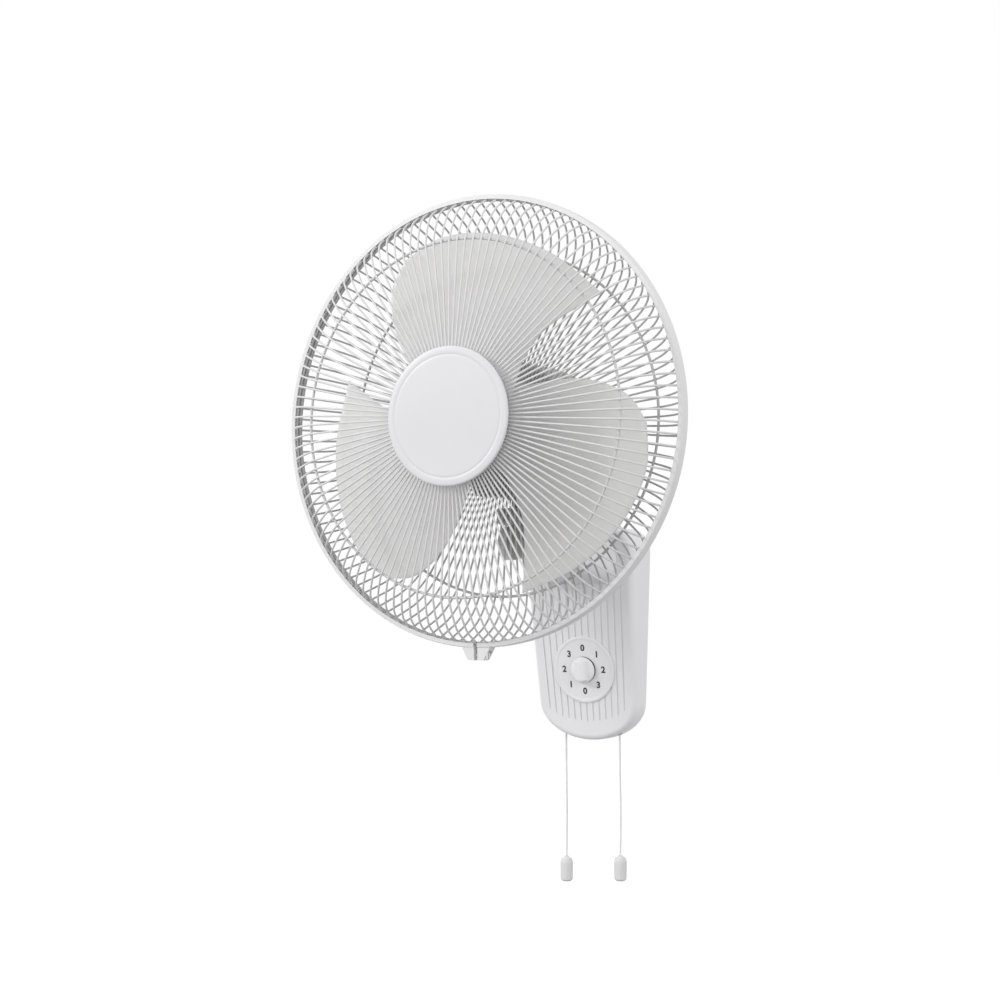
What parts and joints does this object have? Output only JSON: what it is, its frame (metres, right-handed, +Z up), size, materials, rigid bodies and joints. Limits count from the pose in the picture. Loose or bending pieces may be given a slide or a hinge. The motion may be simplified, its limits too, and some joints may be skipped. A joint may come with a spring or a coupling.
{
  "type": "wall mounted fan",
  "caption": "Oscillating fan head in a round wire guard on an arm from a tapered wall housing with a round speed dial and pull cords.",
  "frame": {"origin": "centre of the four wall screws, on the wall plane", "axes": "+Z up, +Y into the wall, the fan blows along -Y, +X to the right as seen from the room"},
  "size_m": [0.436, 0.3142, 0.692],
  "materials": {
    "housing_white": "satin",
    "blade_grey": "satin",
    "wire_white": "satin powder coat",
    "zinc_steel": "zinc plated",
    "motor_steel": "lamination steel",
    "end_bell_metal": "cast",
    "winding_copper": "enamelled copper wire",
    "bush_grey": "matt",
    "switch_dark": "matt",
    "cord_white": "braided"
  },
  "bodies": {
    "base": {"wall_bracket": "zinc_steel", "back_plate": "housing_white", "front_housing": "housing_white", "housing_screws": "zinc_steel", "lock_screw": "zinc_steel", "cable_bush": "bush_grey", "tilt_bolt": "zinc_steel", "tilt_nut": "zinc_steel", "speed_switch": "switch_dark", "switch_nut": "zinc_steel", "speed_cord_switch": "housing_white", "oscillation_cord_switch": "housing_white", "cord_grommets": "bush_grey", "terminal_block": "switch_dark", "capacitor": "switch_dark"},
    "neck": {"neck_block": "housing_white", "swivel_spindle": "zinc_steel", "spindle_clip": "zinc_steel", "swivel_washer": "bush_grey", "anchor_pin": "zinc_steel"},
    "head": {"motor_bracket": "end_bell_metal", "oscillation_motor": "end_bell_metal", "motor_front_cover": "housing_white", "motor_rear_cover": "housing_white", "rear_cover_screw": "zinc_steel", "stator_core": "motor_steel", "stator_windings": "winding_copper", "front_end_bell": "end_bell_metal", "rear_end_bell": "end_bell_metal", "motor_bearings": "zinc_steel", "motor_bolts": "zinc_steel", "guard_nut": "housing_white", "rear_guard_plate": "wire_white", "rear_guard_wires": "wire_white", "rear_guard_rings": "wire_white", "front_guard_wires": "wire_white", "front_guard_rings": "wire_white", "guard_hoop": "housing_white", "hoop_screw": "zinc_steel", "hoop_nut": "zinc_steel", "guard_cap": "housing_white", "cap_retainer": "housing_white", "cap_screws": "zinc_steel"},
    "fan": {"impeller": "blade_grey", "blade_nut": "housing_white", "shaft": "zinc_steel", "rotor": "motor_steel"},
    "knob": {"speed_knob": "housing_white", "dial_spindle": "zinc_steel"},
    "speed_cord_pull": {"speed_slider": "switch_dark", "speed_cord": "cord_white", "speed_pull": "housing_white"},
    "swing_cord_pull": {"oscillation_slider": "switch_dark", "oscillation_cord": "cord_white", "oscillation_pull": "housing_white"},
    "crank": {"oscillation_crank": "zinc_steel"},
    "link": {"oscillation_link": "zinc_steel"}
  },
  "joints": [
    {"name": "tilt", "type": "hinge", "parent": "base", "child": "neck", "pos_m": [0, -0.16, 0.091], "axis": [1, 0, 0], "range_deg": [-10, 30]},
    {"name": "swing", "type": "hinge", "parent": "neck", "child": "head", "pos_m": [0, -0.165, 0.15], "axis": [0, 0, 1], "range_deg": [-45, 45]},
    {"name": "fan_spin", "type": "hinge", "parent": "head", "child": "fan", "pos_m": [0, -0.25, 0.207], "axis": [0, -1, 0], "continuous": true},
    {"name": "dial_turn", "type": "hinge", "parent": "base", "child": "knob", "pos_m": [0, -0.03, -0.04], "axis": [0, -0.9903, -0.1392], "continuous": true},
    {"name": "speed_cord_slide", "type": "slide", "parent": "base", "child": "speed_cord_pull", "axis": [0, 0, -1], "range_m": [0, 0.015], "stiffness_N_per_m": 200},
    {"name": "swing_cord_slide", "type": "slide", "parent": "base", "child": "swing_cord_pull", "axis": [0, 0, -1], "range_m": [0, 0.015], "stiffness_N_per_m": 200},
    {"name": "crank_turn", "type": "hinge", "parent": "head", "child": "crank", "pos_m": [0.0056, -0.102, 0.145], "axis": [0, 0, 1], "range_deg": [-90, 90]},
    {"name": "link_turn", "type": "hinge", "parent": "neck", "child": "link", "pos_m": [0.019, -0.165, 0.1275], "axis": [0, 0, 1], "range_deg": [-45, 45]}
  ],
  "couplings": [
    {"joint": "crank_turn", "follows": "swing", "ratio": -2},
    {"joint": "link_turn", "follows": "swing", "ratio": 1}
  ]
}
